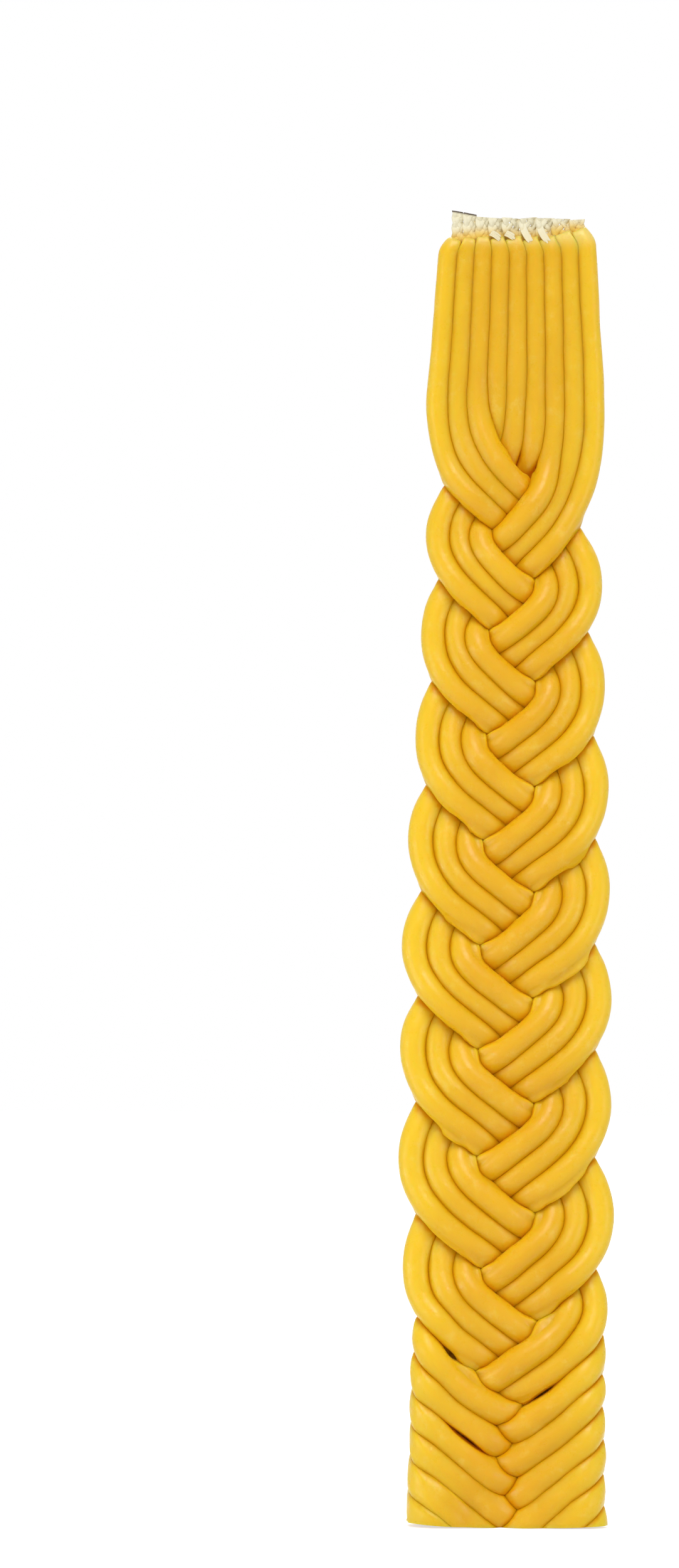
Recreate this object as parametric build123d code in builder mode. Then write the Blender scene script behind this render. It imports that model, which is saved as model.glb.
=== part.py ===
from build123d import *
import math
import os
import numpy as np

# A braided candle of nine hand-dipped wax tapers, each on its own cotton wick.
# Millimetres, +Z up, front towards -Y, origin under the middle of the cut foot.
# The tapers stand in one row at the top, are plaited flat in three plies of three, and end at the
# foot in a fishtail, where they cross one at a time.

# Driving dimensions
WAX_HEIGHT = 248.0        # cut foot to the tapers' shoulders
NECK_LENGTH = 49.3        # shoulders to the first crossing
TIP_DIAMETER = 3.3        # taper just under its shoulder
NECK_DIAMETER = 4.1       # taper at the first crossing
FOOT_DIAMETER = 4.6       # taper at the cut foot
SHOULDER_WALL = 0.15      # wax left round the wick at a taper's flat top
SHOULDER_LENGTH = 0.9     # height of the sloping shoulder below it
WICK_WIDTH = 1.8          # flat braided wick, inside the wax
WICK_THICKNESS = 1.0
WICK_SPREAD = 0.5         # how much wider a cut stub spreads
WICK_STUB = 5.6           # wick left standing above the shoulders
WICK_LEAN = 1.2           # how far a stub bends over to the left
KNEE_HEIGHT = 2.8         # where on the stub it bends most
KNEE_LEAN = 0.3           # how far over it is there
WICK_CLEARANCE = 0.05     # wick to the wall of its bore
STRAND_GAP = 0.12         # least distance between two tapers

# The plait, in counts, angles and lanes: a lane is a taper's diameter and the gap beside it
STRANDS_IN_PLY = 3
PLIED_MOVES = 17          # times a whole ply crosses before the strands cross singly
STEP_LANES = 2.27         # height between two plies' moves
SLOPE_FIRST = 44.0        # the first diagonal's angle from upright
SLOPE_GAIN = 2.2          # degrees that each move adds, up to the plait's own slope
SLOPE_PLAIT = 55.0
NECK_LANES = 3.85         # half the plait's width at the neck
WAIST_LANES = 4.85        # the same, where the plait is widest
FOOT_LANES = 4.2          # the same, in the fishtail
WIDEST_MOVE = 8           # move from which the plait is widest
NECK_BENDS = {0: 6.2, 1: 10.2, -1: 2.6}   # radius of each ply's first bend, by its move
LAYER_LANES = 0.6         # front and back layers off the middle plane, before they settle
DIVE_LANES = 0.6          # sideways run in which a strand dives from one layer to the middle plane
NECK_DIVE_LANES = 2.0     # the same, downwards, for a strand's first bend in the neck
OVERRUN = 9.0             # length made past the foot before its flat cut

# Fineness
SETTLE_STATIONS = 140     # points on each taper while they settle
SWELL_ROUNDS = 300        # rounds in which the tapers swell to their full diameter
EASE_ROUNDS = 40          # rounds in which the finished spans ease apart
LOFT_SPANS = 43           # straight spans in each finished taper
BEND_SHARE = 20.0         # how strongly the spans crowd into the bends
PUSH = 1.3                # push apart, as a share of what two tapers lack
CALM = 0.3                # weight that keeps a lightly touched point calm
HOLD = 0.065              # pull back to the plait's plan, as a share per round
PRESS = 0.028             # press towards the middle plane, as a share per round
PAIRING_ROUNDS = 8        # rounds between two searches for tapers that lie near each other
WAX_SIDES = 6


def diameter(z):
    """Wax diameter at a height: a quick taper down to the neck, then a slow one."""
    heights = (0.0, WAX_HEIGHT - NECK_LENGTH, WAX_HEIGHT)
    return np.interp(z, heights, (FOOT_DIAMETER, NECK_DIAMETER, TIP_DIAMETER))


def lane(z):
    """Distance between the middles of two tapers side by side."""
    return diameter(z) + STRAND_GAP


STEP = STEP_LANES * (lane(0.0) + lane(WAX_HEIGHT - NECK_LENGTH)) / 2
SINGLE_STEP = STEP / STRANDS_IN_PLY


def height(time):
    """Height of a crossing, with time counted in single steps from the first one."""
    return WAX_HEIGHT - NECK_LENGTH - SINGLE_STEP * time


def slope(move):
    """Angle of a move's diagonal from upright."""
    return math.radians(min(SLOPE_PLAIT, SLOPE_FIRST + SLOPE_GAIN * max(move, 0)))


def half_width(z):
    """Half the plait's width at a height."""
    last = STRANDS_IN_PLY * PLIED_MOVES
    heights = (height(last), height(last - 4), height(STRANDS_IN_PLY * WIDEST_MOVE), height(0))
    return lane(z) * np.interp(z, heights, (FOOT_LANES, WAIST_LANES, WAIST_LANES, NECK_LANES))


# The plies move in turn: left, right, middle. Even moves cross from the left edge over the front.
PLY_PLACE = {"left": -3, "middle": 0, "right": 3}
FIRST_MOVE = {"left": 0, "middle": -1, "right": 1}
LAST_PLIED = {"left": PLIED_MOVES - 2, "middle": PLIED_MOVES - 3, "right": PLIED_MOVES - 1}
FISHTAIL_SLOT = {
    "left": {-1: -1, 0: 0, 1: 1},
    "middle": {-1: 1, 0: -1, 1: 0},
    "right": {-1: 1, 0: 0, 1: -1},
}
STRANDS = [(ply, side) for ply in ("left", "middle", "right") for side in (-1, 0, 1)]
LAST_MOVE = math.ceil((WAX_HEIGHT - NECK_LENGTH + OVERRUN) / STEP) + 6


def moves(ply):
    return range(FIRST_MOVE[ply], LAST_MOVE, len(PLY_PLACE))


def slot(ply, side, move):
    """A strand's order in its ply on a move: -1 crosses highest, 1 lowest."""
    if move > LAST_PLIED[ply]:
        return FISHTAIL_SLOT[ply][side]
    return -side if move % 2 == 0 else side


def crossing(ply, side, move):
    """Time at which a strand crosses the middle, and its place in the order of crossing over."""
    middle = STRANDS_IN_PLY * move
    if move > LAST_PLIED[ply]:
        time = middle + 2 * slot(ply, side, move)
        return time, time
    spread = lane(height(middle)) / math.sin(slope(move)) / SINGLE_STEP
    return middle + spread * slot(ply, side, move), middle


CROSSINGS = [(move % 2, *crossing(*strand, move)) for strand in STRANDS for move in moves(strand[0])]


def dive(ply, side, move):
    """How far past the middle a strand goes from front to back: between the last it crosses over
    and the next that crosses over it."""
    time, order = crossing(ply, side, move)
    opposite = [(t, o) for parity, t, o in CROSSINGS if parity != move % 2]
    over = max((t for t, o in opposite if o < order), default=time)
    under = min((t for t, o in opposite if o > order), default=time)
    return (height(time) - height((over + under) / 2)) / 2 * math.tan(slope(move))


def nested(ply, side, move):
    """How many strands of its ply turn outside a strand at the edge before a move."""
    before, after = slot(ply, side, move - 3), slot(ply, side, move)
    others = [(slot(ply, other, move - 3), slot(ply, other, move)) for other in (-1, 0, 1)]
    return sum(b < before and a > after for b, a in others)


def corners(ply, side):
    """Corners of a strand's zigzag in the plait's plane: x, z, radius and reach of the rounded edge."""
    lines = []
    for move in moves(ply):
        lean = math.tan(slope(move)) * (1 if move % 2 == 0 else -1)
        lines.append((lean, height(crossing(ply, side, move)[0]), move))
    lean, z, move = lines[0]
    row = lane(height(-5))
    x = (PLY_PLACE[ply] + side) * row
    bend = NECK_BENDS[move] + (-side if move == 0 else side)
    found = [(x, z - x / lean, bend * row, 0.0)]
    for (lean_a, z_a, move_a), (lean_b, z_b, move_b) in zip(lines, lines[1:]):
        z = (lean_a * z_a - lean_b * z_b) / (lean_a - lean_b)
        x = lean_a * (z_a - z)
        reach = half_width(z) - diameter(z) / 2 - nested(ply, side, move_b) * lane(z)
        a, b = slope(move_a), slope(move_b)
        spare = math.cos((a - b) / 2) / math.cos((a + b) / 2) - 1
        found.append((x, z, (abs(x) - reach) / spare, reach))
    return found


def layer(ply, side, x, z, zigzag):
    """Depth of a strand at a place on its zigzag: front on its way in, back on its way out."""
    passed = sum(corner[1] > z for corner in zigzag)
    run = max(passed - 1, 0)
    move = FIRST_MOVE[ply] + 3 * run
    way = 1 if move % 2 == 0 else -1
    ahead = (x * way - dive(ply, side, move)) / lane(z)
    reach = zigzag[run][3] if ahead < 0 else zigzag[run + 1][3]
    edge = math.sqrt(max(reach - abs(x), 0.0) / (DIVE_LANES * lane(z)))
    if passed < 2 and ahead < 0:
        edge = (zigzag[0][1] - z) / (NECK_DIVE_LANES * lane(z))
    share = max(-1.0, min(1.0, ahead / DIVE_LANES)) * max(0.0, min(1.0, edge))
    return LAYER_LANES * lane(z) * share if passed else 0.0


def route(ply, side):
    """Points along a strand before it settles, evenly spaced."""
    zigzag = corners(ply, side)
    (*_, (x_a, z_a, *_), (x_b, z_b, *_)) = zigzag
    with BuildLine(Plane.XZ) as line:
        points = [((PLY_PLACE[ply] + side) * lane(WAX_HEIGHT), WAX_HEIGHT)]
        points += [(x, z) for x, z, *_ in zigzag[:-1]]
        points += [((x_a + x_b) / 2, (z_a + z_b) / 2)]
        FilletPolyline(*points, radius=[corner[2] for corner in zigzag[:-1]])
    fine = np.array([tuple(edge @ u) for edge in line.edges() for u in np.linspace(0, 1, 13)])
    fine = fine[np.argsort(-fine[:, 2])]
    fine = fine[fine[:, 2] > -OVERRUN]
    run = np.concatenate([[0.0], np.cumsum(np.linalg.norm(np.diff(fine, axis=0), axis=1))])
    stops = np.linspace(0.0, run[-1], SETTLE_STATIONS)
    flat = zip(np.interp(stops, run, fine[:, 0]), np.interp(stops, run, fine[:, 2]))
    return np.array([(x, layer(ply, side, x, z, zigzag), z) for x, z in flat])


def contacts(paths):
    """Pairs of spans of different strands that lie near each other, by their first points."""
    stations = paths.shape[1]
    spans = (np.arange(len(paths))[:, None] * stations + np.arange(stations - 1)).ravel()
    strand = spans // stations
    flat = paths.reshape(-1, 3)
    middle = (flat[spans] + flat[spans + 1]) / 2
    longest = np.linalg.norm(flat[spans + 1] - flat[spans], axis=1).max()
    square = (middle ** 2).sum(1)
    near = square[:, None] + square - 2 * middle @ middle.T < (1.4 * lane(0.0) + longest) ** 2
    return [spans[found] for found in np.nonzero(near & (strand[:, None] < strand))]


def nearest(flat, a, b):
    """The nearest points of paired spans: their shares of each span, and the way from b's to a's."""
    u, v, w = flat[a + 1] - flat[a], flat[b + 1] - flat[b], flat[a] - flat[b]
    uu, vv, uv = (u * u).sum(1), (v * v).sum(1), (u * v).sum(1)
    uw, vw = (u * w).sum(1), (v * w).sum(1)
    s = np.clip((uv * vw - uw * vv) / np.maximum(uu * vv - uv ** 2, 1e-6), 0, 1)
    t = np.clip((uv * s + vw) / vv, 0, 1)
    s = np.clip((uv * t - uw) / uu, 0, 1)
    apart = w + s[:, None] * u - t[:, None] * v
    touching = (lane(flat[a, 2]) + lane(flat[b, 2])) / 2
    return s, t, apart, np.linalg.norm(apart, axis=1), touching


def settle(paths, rounds, slack, stiffness):
    """Push crossing strands apart, round by round. With slack they start thin, swell slowly to their
    full diameter, and are held near home and pressed flat meanwhile."""
    home = paths.copy()
    for turn in range(rounds):
        loose = slack * max(0.0, 1 - 2 * turn / rounds)
        if turn % PAIRING_ROUNDS == 0:
            a, b = contacts(paths)
        flat = paths.reshape(-1, 3)
        s, t, apart, distance, touching = nearest(flat, a, b)
        short = np.maximum(touching * (1 - loose) - distance, 0.0)
        push = apart * (short / np.maximum(distance, 1e-6) / 2)[:, None]
        shove = np.zeros_like(flat)
        weight = np.full(len(flat), CALM)
        for end, part, sign in ((a, 1 - s, 1), (a + 1, s, 1), (b, 1 - t, -1), (b + 1, t, -1)):
            part = part * (short > 0)
            np.add.at(shove, end, sign * push * part[:, None])
            np.add.at(weight, end, part)
        paths = (flat + PUSH * shove / weight[:, None]).reshape(paths.shape)
        straight = (paths[:, :-2] + paths[:, 2:]) / 2 - paths[:, 1:-1]
        paths[:, 1:-1] += stiffness * (1 + 4 * loose) * straight
        paths += loose * np.array([HOLD, 0.0, HOLD]) * (home - paths)
        paths[:, :, 1] *= 1 - PRESS * loose
        paths[:, :2] = home[:, :2]
    return paths


def thin_out(path):
    """Stations of a finished taper: few along its straight runs, more in its bends."""
    spans = np.diff(path, axis=0)
    length = np.linalg.norm(spans, axis=1)
    way = spans / length[:, None]
    turn = np.zeros(len(path))
    turn[1:-1] = np.arccos(np.clip((way[:-1] * way[1:]).sum(1), -1, 1))
    turn = np.convolve(turn, np.hanning(7) / np.hanning(7).sum(), mode="same")
    run = np.concatenate([[0.0], np.cumsum(length + BEND_SHARE * (turn[:-1] + turn[1:]) / 2)])
    stops = np.linspace(0.0, run[-1], LOFT_SPANS + 1)
    return np.stack([np.interp(stops, run, path[:, axis]) for axis in range(3)], axis=1)


def pressed(paths):
    """Diameter at each station, pressed thinner where two tapers cross so that they only touch."""
    flat = paths.reshape(-1, 3)
    a, b = contacts(paths)
    *_, distance, touching = nearest(flat, a, b)
    short = np.maximum(touching - distance, 0.0)
    thinner = np.zeros(len(flat))
    for end in (a, a + 1, b, b + 1):
        np.maximum.at(thinner, end, short)
    return (diameter(flat[:, 2]) - thinner).reshape(paths.shape[:2])


def frames(path):
    """Section planes along a path, each square to it, turning no more than the path does."""
    way = np.diff(path, axis=0)
    way /= np.linalg.norm(way, axis=1)[:, None]
    along = np.vstack([way[:1], way[:-1] + way[1:], way[-1:]])
    across = np.array([1.0, 0.0, 0.0])
    planes = []
    for place, normal in zip(path, along):
        normal = normal / np.linalg.norm(normal)
        across = across - normal * (across @ normal)
        across /= np.linalg.norm(across)
        planes.append(Plane(origin=tuple(place), x_dir=tuple(across), z_dir=tuple(normal)))
    return planes


routes = np.array([route(*strand) for strand in STRANDS])
settled = settle(routes, SWELL_ROUNDS, slack=0.9, stiffness=0.02)
paths = np.array([thin_out(path) for path in settled])
paths = settle(paths, EASE_ROUNDS, slack=0.0, stiffness=0.0)
widths = pressed(paths)
bore_width = WICK_WIDTH + 2 * WICK_CLEARANCE
bore_thickness = WICK_THICKNESS + 2 * WICK_CLEARANCE
shoulder_inside = math.hypot(bore_width, bore_thickness) + 2 * SHOULDER_WALL
shoulder_width = shoulder_inside / math.cos(math.pi / WAX_SIDES)
os.makedirs("parts", exist_ok=True)

for number, (path, width) in enumerate(zip(paths, widths), start=1):
    top = path[0]
    above = top + (0, 0, WICK_STUB)
    bore_planes = frames(np.vstack([above, path]))
    with BuildPart() as bore:
        for plane in bore_planes:
            with BuildSketch(plane):
                Rectangle(bore_width, bore_thickness)
        loft(ruled=True, clean=False)

    # Wax taper: a loft with a sloping shoulder, bored for its wick and cut flat at the foot
    wax_planes = frames(np.vstack([top, top - (0, 0, SHOULDER_LENGTH), path[1:]]))
    wax_widths = [shoulder_width, *width]
    with BuildPart() as wax:
        for plane, across in zip(wax_planes, wax_widths):
            with BuildSketch(plane):
                RegularPolygon(across / 2, WAX_SIDES)
        loft(ruled=True, clean=False)
        split(bisect_by=Plane.XY, keep=Keep.TOP)
        add(bore.part, mode=Mode.SUBTRACT, clean=False)
    wax.part.label = f"wax_taper_{number}"
    export_step(wax.part, f"parts/wax_taper_{number}.step")

    # Cotton wick: the whole length of its taper, with a bent stub that spreads above the shoulder
    tip = top + (-WICK_LEAN, 0, WICK_STUB)
    knee = top + (-KNEE_LEAN, 0, KNEE_HEIGHT)
    wick_planes = frames(np.vstack([tip, knee, path]))
    with BuildPart() as wick:
        for station, plane in enumerate(wick_planes):
            spread = WICK_SPREAD if station < 2 else 0.0
            with BuildSketch(plane):
                Rectangle(WICK_WIDTH + spread, WICK_THICKNESS)
        loft(ruled=True, clean=False)
        split(bisect_by=Plane.XY, keep=Keep.TOP)
    wick.part.label = f"wick_{number}"
    export_step(wick.part, f"parts/wick_{number}.step")
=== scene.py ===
import math

import bmesh
import bpy
import numpy as np
from mathutils import Matrix, Vector


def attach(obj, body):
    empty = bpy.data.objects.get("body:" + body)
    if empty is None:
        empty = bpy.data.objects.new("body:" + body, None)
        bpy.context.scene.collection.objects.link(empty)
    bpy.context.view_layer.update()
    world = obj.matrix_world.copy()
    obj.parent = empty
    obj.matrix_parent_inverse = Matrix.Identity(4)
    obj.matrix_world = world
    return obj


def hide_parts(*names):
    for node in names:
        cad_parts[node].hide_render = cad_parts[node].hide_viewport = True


# A braided candle of nine hand-dipped tapers with cotton wicks, dressed over its solids.
# Lengths are in millimetres until a mesh is made, which is in metres. The front is towards -Y.

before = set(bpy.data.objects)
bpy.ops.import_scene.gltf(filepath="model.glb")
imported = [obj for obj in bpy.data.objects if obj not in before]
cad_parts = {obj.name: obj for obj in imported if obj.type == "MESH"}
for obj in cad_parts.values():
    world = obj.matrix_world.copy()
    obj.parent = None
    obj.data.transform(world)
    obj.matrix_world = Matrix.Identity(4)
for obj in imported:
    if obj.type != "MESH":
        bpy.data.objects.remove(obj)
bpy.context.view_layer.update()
MM = 0.001
SEED = 11

# The plait, as it is built. A lane is a taper's diameter and the gap beside it
WAX_HEIGHT = 248.0        # cut foot to the tapers' shoulders
NECK_LENGTH = 49.3        # shoulders to the first crossing
FIRST_CROSSING = WAX_HEIGHT - NECK_LENGTH
TIP_DIAMETER = 3.2        # taper just under its shoulder
NECK_DIAMETER = 4.1       # taper at the first crossing
FOOT_DIAMETER = 4.6       # taper at the cut foot
STRAND_GAP = 0.12         # in the plait's plan
STRANDS_IN_PLY = 3
PLIED_MOVES = 17          # times a whole ply crosses before the strands cross singly
STEP_LANES = 2.27         # height between two plies' moves
SLOPE_FIRST = 44.0        # the first diagonal's angle from upright
SLOPE_GAIN = 2.2          # degrees that each move adds, up to the plait's own slope
SLOPE_PLAIT = 55.0
NECK_LANES = 3.93         # half the plait's width at the neck
WAIST_LANES = 4.56        # the same, where the plait is widest
FOOT_LANES = 4.1          # the same, in the fishtail
WIDEST_MOVE = 8           # move from which the plait is widest
NARROWING = (3, 10)       # single steps before the fishtail: narrow from the first, wide until the second
NECK_BENDS = {0: 5.0, 1: 9.4, -1: 2.6}  # radius of each ply's first bend in lanes, by its move
ROW_STEPS = 5             # single steps above the first crossing, where the row's lane is taken
ROW_SPREAD = 1.02         # spacing of the row, in such lanes
LAYER_LANES = 0.6         # front and back layers off the middle plane, before they settle
DIVE_LANES = 0.6          # sideways run in which a strand dives from one layer to the middle plane
NECK_DIVE_LANES = 2.0     # the same, downwards, for a strand's first bend in the neck
OVERRUN = 9.0             # length made past the foot before its cut
SPARE_MOVES = 6           # moves planned past that
ARC_POINTS = 25           # points on a rounded corner
PLAN_POINTS = 3000        # points on a strand's plan

# How the tapers settle against each other
SETTLE_STATIONS = 140     # points on each taper while they settle
SWELL_ROUNDS = 220        # rounds in all
SWELL_RATE = 1.6          # how many times sooner than that the tapers have swollen
SLACK = 0.9               # how much thinner they start
NEAR_LANES = 1.4          # distance within which two tapers are watched
PAIRING_ROUNDS = 8        # rounds between two searches for such tapers
SOFT_CONTACT = 0.92       # distance kept between crossing tapers, as a share of a lane
PUSH = 1.3                # push apart, as a share of what two tapers lack
CALM = 0.3                # weight that keeps a lightly touched point calm
STIFFNESS = 0.12          # straightening of a loose taper, as a share per round,
STIFFNESS_LEAST = 0.03    # and of a swollen one
HOLD = 0.06               # pull back to the plait's plan, as a share per round,
HOLD_LEAST = 0.3          # and its share that stays
PRESS = 0.025             # press towards the middle plane, as a share per round,
PRESS_LEAST = 0.1         # and its share that stays

# The soft wax: free, pressed and fused
FULLNESS = 0.565          # free radius of a taper, as a share of a lane
FOOT_FULLNESS = 0.12      # how much fuller the fused foot is
FUSED_HEIGHT = 14.0       # height up to which the foot is fused
NECK_SEAM = 1.7           # width of the soft seam between fused tapers: in the neck,
PLAIT_SEAM = 0.8          # in the plait
FOOT_SEAM = 2.4           # and at the foot
SOFT_HEIGHT = 40.0        # height up to which seams are softer than the plait's
NECK_FROM = -12.0         # heights from the first crossing where the neck's seams begin
NECK_TO = 8.0             # and have their full width
DEEP_SEAM = 3.4           # a seam's width in the middle of the plait's thickness, which is filled,
DEEP_LANES = 0.3          # up to this far from the middle, in lanes
SEAM_ROUNDS = 4           # rounds in which a seam's shape is found
SEAM_REACH = 1.2          # distance from a neighbour within which shade is painted into a seam,
PLAIN_TOP = 3.0           # less and less over this length below the top
WELD = 1.04               # how far pressed sides reach past their middle, so that no slit shows,
SOFT_WELD = 0.07          # how much further in the neck and at the foot,
SMEAR_WELD = 0.08         # in smeared wax
DEEP_WELD = 0.16          # and in the middle of the plait's thickness
ROUNDING = 22.0           # how sharply a free side turns into a pressed one
LEAST_REACH = 0.3         # least distance of a side from its taper's middle
CROWD_RADII = 4.2         # distance within which neighbours count, in radii
FAR_OFF = 9.0             # distance of a side without neighbours
UNPRESSED = 1000.0        # room of a side that nothing presses
GAP_REACH = 0.6           # how far a taper's side bulges to close a small gap, in radii
GAP_NEAR, GAP_FAR = 1.5, 1.9  # fully up to the first distance, not beyond the second, in radii
WIDENING = 2              # rings and points by which such a bulge is widened
SIDE_LOW, SIDE_HIGH = 0.2, 0.5  # only sides that face along the plait's plane do so,
SIDE_LEAN = 0.5           # or towards its middle
EDGE_LOW, EDGE_HIGH = 1.0, 1.8  # and none near the plait's edge, in lanes from it
BARE_LOW, BARE_HIGH = 0.8, 0.95  # and only into places that no other taper covers, seen from the front
AHEAD_RADII = 1.2         # and that lie this far from the taper's middle, in radii
SMOOTHING = 3             # rounds of smoothing along a taper
SPACING = 0.85            # distance between rings along a finished taper
TOP_SPACING = 0.22        # the same in its shoulder
TOP_LENGTH = 7.0          # length of that finer stretch
SIDES = 44                # points round a ring

# Wax smeared over its seams, at the foot's left corner and, less so, up its left edge: strength, top,
# height of its fading, right end, width of its fading, and the lanes from the plait's middle plane at
# which it starts and is full
SMEARS = (
    (1.0, 11.0, 6.0, -6.0, 5.0, 0.3, 1.3),
    (0.6, 34.0, 10.0, -15.0, 2.5, 0.0, 0.5),
)
SMEAR_SEAM = 6.0          # how much wider a seam is in smeared wax

# Open slits between two tapers at the front: middle in x and z, half length, lean in degrees, and how
# far both sides draw back, as a share
SLITS = (
    (-7.6, 16.8, 6.0, -34.0, 0.24),
    (6.3, 26.1, 3.6, 36.0, 0.22),
    (2.0, 204.5, 3.6, -48.0, 0.3),
)
SLIT_HALF_WIDTH = 2.0     # reach of a slit to either side,
SLIT_FULLNESS = 1.5       # and how flat it is across
SLIT_BACK = 1.0           # depth in y that it reaches
UNSLIT = 0.99             # share of its place from which a side counts as whole

# Unevenness of hand-dipped, hand-plaited tapers
LINE_SPACING = 0.4        # distance between points on a softened line
LINE_REACH = 1.2          # reach over which it is softened
WANDER = 0.22             # of a taper's middle line, every way
WANDER_WAVES = (19.0, 33.0, 61.0)  # its wavelengths
WANDER_START = 6.0        # distance from the top at which it starts
WANDER_EASE = 20.0        # distance over which it grows
SWELLING = 0.03           # of the radius, as a share
SWELLING_WAVES = (7.0, 13.0, 29.0)  # its wavelengths
FOOT_RISE = (0.8, 0.4)    # how much higher the foot is cut at its left and right corner
FOOT_HALF_WIDTH = 19.0
FOOT_LIFT = 0.09          # so that no sloping cut dips below the floor
BOW_HEIGHTS = (40.0, 70.0, 110.0, 150.0, 190.0, 215.0)
BOW = (0.0, -0.95, -1.0, -0.5, -0.5, 0.0)  # how far the candle bends to the side at those heights
SAG_HEIGHTS = (2.0, 28.0, 52.0, 78.0, 165.0, 188.0, 206.0, 240.0)
SAG = (0.0, 1.7, 1.7, 0.0, 0.0, 0.8, 3.0, 0.0)  # how far its crossings lie below an even spacing

# The wick stubs, left to right: height above the wax, how far to the left it stands of its taper, bow to
# the front, how far the wax has climbed, and half its width
STUBS = (
    (6.1, -1.62, 0.1, 0.6, 1.20),
    (5.7, -0.61, -0.1, 0.9, 1.40),
    (5.0, 0.19, 0.2, 1.2, 1.45),
    (4.8, 0.96, 0.3, 1.0, 1.60),
    (4.8, 1.31, 0.3, 1.0, 2.00),
    (4.9, 1.31, 0.3, 0.9, 2.00),
    (4.9, 1.41, 0.3, 1.0, 1.95),
    (4.8, 1.58, 0.1, 2.0, 2.00),
    (4.7, 1.88, -0.1, 2.6, 1.60),
)
STUB_ROOT = 1.2           # length of a stub made below the top of the wax,
STUB_SPARE = 0.8          # and past its cut
STUB_POINTS = 90          # points along a stub
BEND_BELOW = 3.0          # a stub leans over, with its taper, from this far below the end of the wax
BEND_ABOVE = 0.6          # to this far above it
STUB_TURN = math.radians(27.0)  # how far it then turns, left edge to the front, so that stubs overlap
TURN_LENGTH = 1.6         # over this length
CLIMB_POINTS = 12         # points along the wax that has climbed it
SHOULDER = 2.4            # length over which the wax rounds in to the wick
COLLAR_HALF_DEPTH = 0.85  # the wax where it ends round the wick
CUT_SLOPES = (-0.14, -0.16, -0.05, 0.0, 0.02, 0.04, -0.02, -0.05, 0.08)   # of each stub, sideways
CUT_TILT = 0.2            # most that a cut slopes to the front or back
SINGED = (1, 2)           # stubs with a dark cut edge,
SINGE_FADE = 0.3          # which fades over this depth,
SINGE_DEPTH = 1.5         # and ends this many times as far below the cut
CORE_HALF_WIDTH = 0.9     # the same wick, pressed together inside the wax
CORE_HALF_DEPTH = 0.5
CORE_SIDES = 12
CORE_TOP = 0.5            # how far below the top of the wax it ends
CORE_SOAKED = 0.6         # how soaked it is
CORE_PROUD = 0.03         # how far it stands out of the cut foot

# The wick's yarn
YARNS = 5                 # flat bundles of thread in the braid
YARN_HALF_WIDTH = 0.5
YARN_HALF_DEPTH = 0.3
YARN_DEPTH = 0.17         # how far a bundle swings to the front and back
YARN_WAVE = 9.5           # length of one full swing
YARN_START = 6.0          # range of the angle at which a braid starts
YARN_SIDES = 36           # points round a bundle
THREADS = 9               # threads seen round a bundle
THREAD_RELIEF = 0.07      # how far they stand out
THREAD_LAY = 9.0          # length in which they turn once
SOAKED = 2.6              # length of wick above the wax that is soaked with it,
BACK_SIDE_SHADE = 0.9         # and share of that colour painted as shade on the side that is turned back,
SIDE_DEPTH = 0.8          # from the middle to this far behind it

# Loose ends at the front of some stubs: three points each, from the stub's middle line
LOOSE_ENDS = {
    4: ((-0.9, -0.8, 1.9), (-0.1, -1.3, 1.7), (0.75, -1.4, 0.75)),
    5: ((-1.0, -0.8, 1.9), (-0.2, -1.3, 1.65), (0.6, -1.4, 0.9)),
    6: ((-1.3, -0.5, 4.0), (-0.9, -1.3, 2.0), (0.45, -1.45, 0.3)),
    7: ((-1.15, -0.5, 3.7), (-0.8, -1.3, 1.9), (0.55, -1.45, 0.3)),
}
LOOSE_RISE = 1.5          # height at which that middle line is taken
LOOSE_SIZE = 0.5          # size of each strand of a loose end,
LOOSE_FAN = (-0.42, -0.14, 0.14, 0.42)  # which lie side by side,
LOOSE_TIP = 0.3           # narrowing over this share of their length
LOOSE_WEAR = 0.85         # by this share of their section
LOOSE_LONG = 0.3          # how much longer or shorter a strand's tip is,
LOOSE_ASIDE = 0.08        # and how far to the side it lies
LOOSE_SOAK_AND_SHADE = 0.15       # how soaked they are, and how much of the painted shade they take
LOOSE_POINTS = 40

# Stray fibres on a stub
HAIRS = 22
HAIR_ROOTS = (0.5, 1.0)   # share of the stub's height where they grow
HAIR_SIDE = 1.2           # how far from its middle line, to the sides
HAIR_FRONT = 0.5          # and to the front and back
HAIR_LENGTH = 0.7
HAIR_WAY = ((0, 0.8), (0, 0.6), (0.5, 0.5))  # mean and spread of their direction, in x, y and z
HAIR_CURL = 0.3           # spread of their curl,
HAIR_DROOP = -0.25        # which hangs down
HAIR_RADIUS = 0.03
HAIR_THINNING = 0.018     # how much thinner the tip is
HAIR_POINTS = 5
HAIR_SIDES = 4

# Colours
DEEP_HONEY = (0.735, 0.405, 0.005, 1)
HONEY = (0.795, 0.475, 0.009, 1)
# painted light on the candle's outer edges
LIT_EDGE_HONEY = (0.835, 0.57, 0.014, 1)
BLOOM = (0.90, 0.70, 0.16, 1)
THIN_WAX = (0.82, 0.64, 0.17, 1)
# painted shade in the seams between tapers
SEAM_SHADE_ORANGE = (0.79, 0.325, 0.001, 1)
COTTON = (0.79, 0.735, 0.53, 1)
# wax soaked into the wick, and painted shade on its turned-back sides
SOAKED_AND_SHADED_COTTON = (0.78, 0.53, 0.095, 1)
CHAR = (0.055, 0.03, 0.015, 1)
FLOOR_WHITE = (0.9, 0.9, 0.9, 1)
WHITE = (1, 1, 1, 1)

# The stage, in metres
FLOOR_SIZE = 3.0
FLOOR_BACK = 0.6          # how far behind the candle the floor's middle lies
FLOOR_GLOW = 0.6          # glow of the floor as the camera sees it
WORLD_LIGHT = 0.28        # strength of the world's light on the candle
CANDLE_MIDDLE = (0, 0, 0.12)  # where most lamps point
CANDLE_LOW = (0, 0, 0.1)

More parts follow.
